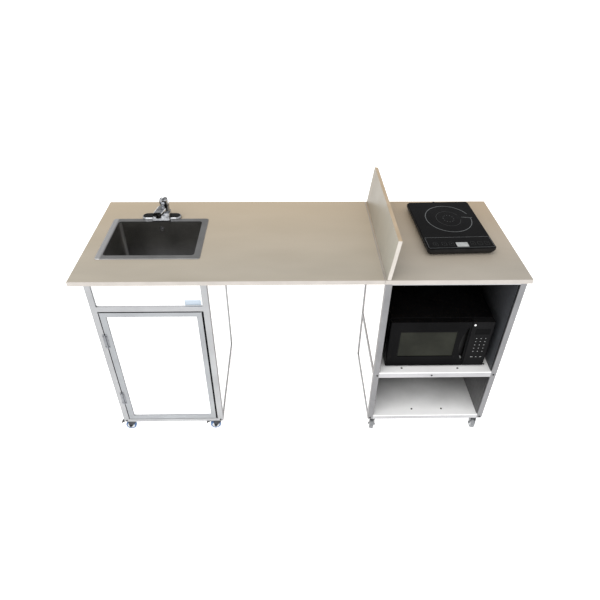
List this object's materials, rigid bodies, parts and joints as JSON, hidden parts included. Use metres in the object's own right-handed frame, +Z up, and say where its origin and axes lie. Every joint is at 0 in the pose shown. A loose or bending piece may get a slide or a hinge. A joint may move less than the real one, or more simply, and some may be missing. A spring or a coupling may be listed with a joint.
{
  "type": "portable handwash sink station",
  "caption": "Wheeled prep station: sink cabinet with tap, open shelf base with oven, shared worktop, splash screen and cooktop.",
  "frame": {"origin": "on the floor at the centre of the outline of the station", "axes": "+X to the right along the worktop, +Y to the back, +Z up; the user stands at -Y"},
  "size_m": [1.829, 0.6615, 1.1112],
  "materials": {
    "laminate": "tan satin laminate",
    "edge_band": "cream PVC band",
    "aluminium_tube": "satin anodised",
    "white_sheet": "white",
    "white_shelf": "white",
    "black_liner": "black gloss",
    "grey_liner": "mid grey",
    "black_screw": "black",
    "hinge_steel": "satin",
    "black_catch": "black",
    "stainless": "brushed",
    "chrome": "polished",
    "brass_fitting": "turned",
    "tank_plastic": "translucent white",
    "pump_black": "black",
    "clear_hose": "clear vinyl",
    "white_hose": "white corrugated",
    "zinc": "zinc plated",
    "caster_tread": "grey tread",
    "oven_case": "black gloss",
    "oven_front": "black gloss",
    "oven_window": "smoked",
    "turntable_glass": "clear",
    "hob_plastic": "black",
    "hob_glass": "black glass ceramic",
    "rubber": "black"
  },
  "bodies": {
    "root": {"worktop_left": "laminate", "worktop_right": "laminate", "worktop_edge_band": "edge_band", "sink_base_frame": "aluminium_tube", "open_base_frame": "aluminium_tube", "sink_base_panels": "white_sheet", "open_base_panels": "white_sheet", "sink_base_floor": "white_sheet", "mid_shelf": "white_shelf", "bottom_shelf": "white_shelf", "upper_liners": "black_liner", "lower_liners": "grey_liner", "frame_screws": "black_screw", "door_hinge_bases": "hinge_steel", "splash_hinge_bases": "hinge_steel", "door_catches": "black_catch", "sink_basin": "stainless", "drain_fittings": "stainless", "faucet_body": "chrome", "faucet_shanks": "brass_fitting", "fresh_water_tank": "tank_plastic", "waste_water_tank": "tank_plastic", "water_pump": "pump_black", "supply_hoses": "clear_hose", "drain_hose": "white_hose", "caster_plates": "zinc", "microwave_case": "oven_case", "microwave_control_panel": "oven_front", "cooktop_body": "hob_plastic", "cooktop_glass": "hob_glass", "appliance_rubber": "rubber"},
    "door": {"door_frame": "aluminium_tube", "door_panel": "white_sheet", "door_hinge_leaves": "hinge_steel"},
    "splash": {"splash_screen": "laminate", "splash_hinge_leaves": "hinge_steel"},
    "tap_hub": {"faucet_hub": "chrome"},
    "tap_lever": {"faucet_lever": "chrome"},
    "basket": {"strainer_basket": "stainless"},
    "oven_door": {"microwave_door": "oven_front", "microwave_window": "oven_window"},
    "oven_table": {"turntable": "turntable_glass"},
    "fork_sink_front_left": {"caster_fork_sink_front_left": "zinc"},
    "wheel_sink_front_left": {"caster_wheel_sink_front_left": "caster_tread"},
    "pedal_sink_front_left": {"brake_pedal_sink_front_left": "zinc"},
    "fork_sink_front_right": {"caster_fork_sink_front_right": "zinc"},
    "wheel_sink_front_right": {"caster_wheel_sink_front_right": "caster_tread"},
    "pedal_sink_front_right": {"brake_pedal_sink_front_right": "zinc"},
    "fork_sink_rear_left": {"caster_fork_sink_rear_left": "zinc"},
    "wheel_sink_rear_left": {"caster_wheel_sink_rear_left": "caster_tread"},
    "fork_sink_rear_right": {"caster_fork_sink_rear_right": "zinc"},
    "wheel_sink_rear_right": {"caster_wheel_sink_rear_right": "caster_tread"},
    "fork_open_front_left": {"caster_fork_open_front_left": "zinc"},
    "wheel_open_front_left": {"caster_wheel_open_front_left": "caster_tread"},
    "fork_open_front_right": {"caster_fork_open_front_right": "zinc"},
    "wheel_open_front_right": {"caster_wheel_open_front_right": "caster_tread"},
    "fork_open_rear_left": {"caster_fork_open_rear_left": "zinc"},
    "wheel_open_rear_left": {"caster_wheel_open_rear_left": "caster_tread"},
    "fork_open_rear_right": {"caster_fork_open_rear_right": "zinc"},
    "wheel_open_rear_right": {"caster_wheel_open_rear_right": "caster_tread"}
  },
  "joints": [
    {"name": "cabinet_door_hinge", "type": "hinge", "parent": "root", "child": "door", "pos_m": [-0.83, -0.3254, 0.44], "axis": [0, 0, -1], "range_deg": [0, 110]},
    {"name": "splash_screen_hinge", "type": "hinge", "parent": "root", "child": "splash", "pos_m": [0.3524, 0, 0.9334], "axis": [0, 1, 0], "range_deg": [-7.1, 60]},
    {"name": "tap_turn", "type": "hinge", "parent": "root", "child": "tap_hub", "pos_m": [-0.6155, 0.172, 1.002], "axis": [0, 0, 1], "range_deg": [-45, 45]},
    {"name": "tap_lift", "type": "hinge", "parent": "tap_hub", "child": "tap_lever", "pos_m": [-0.6155, 0.172, 1.016], "axis": [-1, 0, 0], "range_deg": [0, 25]},
    {"name": "basket_lift", "type": "slide", "parent": "root", "child": "basket", "axis": [0, 0, 1], "range_m": [0, 0.15]},
    {"name": "oven_door_hinge", "type": "hinge", "parent": "root", "child": "oven_door", "pos_m": [0.393, -0.279, 0.542], "axis": [0, 0, -1], "range_deg": [0, 90]},
    {"name": "turntable_spin", "type": "hinge", "parent": "root", "child": "oven_table", "pos_m": [0.558, -0.116, 0.455], "axis": [0, 0, 1], "continuous": true},
    {"name": "swivel_sink_front_left", "type": "hinge", "parent": "root", "child": "fork_sink_front_left", "pos_m": [-0.827, -0.292, 0.072], "axis": [0, 0, 1], "continuous": true},
    {"name": "roll_sink_front_left", "type": "hinge", "parent": "fork_sink_front_left", "child": "wheel_sink_front_left", "pos_m": [-0.841, -0.292, 0.025], "axis": [0, -1, 0], "continuous": true},
    {"name": "brake_sink_front_left", "type": "hinge", "parent": "fork_sink_front_left", "child": "pedal_sink_front_left", "pos_m": [-0.829, -0.292, 0.06], "axis": [0, -1, 0], "range_deg": [0, 8]},
    {"name": "swivel_sink_front_right", "type": "hinge", "parent": "root", "child": "fork_sink_front_right", "pos_m": [-0.407, -0.292, 0.072], "axis": [0, 0, 1], "continuous": true},
    {"name": "roll_sink_front_right", "type": "hinge", "parent": "fork_sink_front_right", "child": "wheel_sink_front_right", "pos_m": [-0.42092, -0.29346, 0.025], "axis": [0.1045, -0.9945, 0], "continuous": true},
    {"name": "brake_sink_front_right", "type": "hinge", "parent": "fork_sink_front_right", "child": "pedal_sink_front_right", "pos_m": [-0.40899, -0.29221, 0.06], "axis": [0.1045, -0.9945, 0], "range_deg": [0, 8]},
    {"name": "swivel_sink_rear_left", "type": "hinge", "parent": "root", "child": "fork_sink_rear_left", "pos_m": [-0.827, 0.203, 0.072], "axis": [0, 0, 1], "continuous": true},
    {"name": "roll_sink_rear_left", "type": "hinge", "parent": "fork_sink_rear_left", "child": "wheel_sink_rear_left", "pos_m": [-0.82221, 0.21616, 0.025], "axis": [-0.9397, 0.342, 0], "continuous": true},
    {"name": "swivel_sink_rear_right", "type": "hinge", "parent": "root", "child": "fork_sink_rear_right", "pos_m": [-0.407, 0.203, 0.072], "axis": [0, 0, 1], "continuous": true},
    {"name": "roll_sink_rear_right", "type": "hinge", "parent": "fork_sink_rear_right", "child": "wheel_sink_rear_right", "pos_m": [-0.40578, 0.21695, 0.025], "axis": [-0.9962, 0.0872, 0], "continuous": true},
    {"name": "swivel_open_front_left", "type": "hinge", "parent": "root", "child": "fork_open_front_left", "pos_m": [0.363, -0.292, 0.072], "axis": [0, 0, 1], "continuous": true},
    {"name": "roll_open_front_left", "type": "hinge", "parent": "fork_open_front_left", "child": "wheel_open_front_left", "pos_m": [0.35961, -0.30558, 0.025], "axis": [0.9703, -0.2419, 0], "continuous": true},
    {"name": "swivel_open_front_right", "type": "hinge", "parent": "root", "child": "fork_open_front_right", "pos_m": [0.869, -0.292, 0.072], "axis": [0, 0, 1], "continuous": true},
    {"name": "roll_open_front_right", "type": "hinge", "parent": "fork_open_front_right", "child": "wheel_open_front_right", "pos_m": [0.86705, -0.30586, 0.025], "axis": [0.9903, -0.1392, 0], "continuous": true},
    {"name": "swivel_open_rear_left", "type": "hinge", "parent": "root", "child": "fork_open_rear_left", "pos_m": [0.363, 0.113, 0.072], "axis": [0, 0, 1], "continuous": true},
    {"name": "roll_open_rear_left", "type": "hinge", "parent": "fork_open_rear_left", "child": "wheel_open_rear_left", "pos_m": [0.36543, 0.12679, 0.025], "axis": [-0.9848, 0.1736, 0], "continuous": true},
    {"name": "swivel_open_rear_right", "type": "hinge", "parent": "root", "child": "fork_open_rear_right", "pos_m": [0.869, 0.113, 0.072], "axis": [0, 0, 1], "continuous": true},
    {"name": "roll_open_rear_right", "type": "hinge", "parent": "fork_open_rear_right", "child": "wheel_open_rear_right", "pos_m": [0.86754, 0.12692, 0.025], "axis": [-0.9945, -0.1045, 0], "continuous": true}
  ]
}
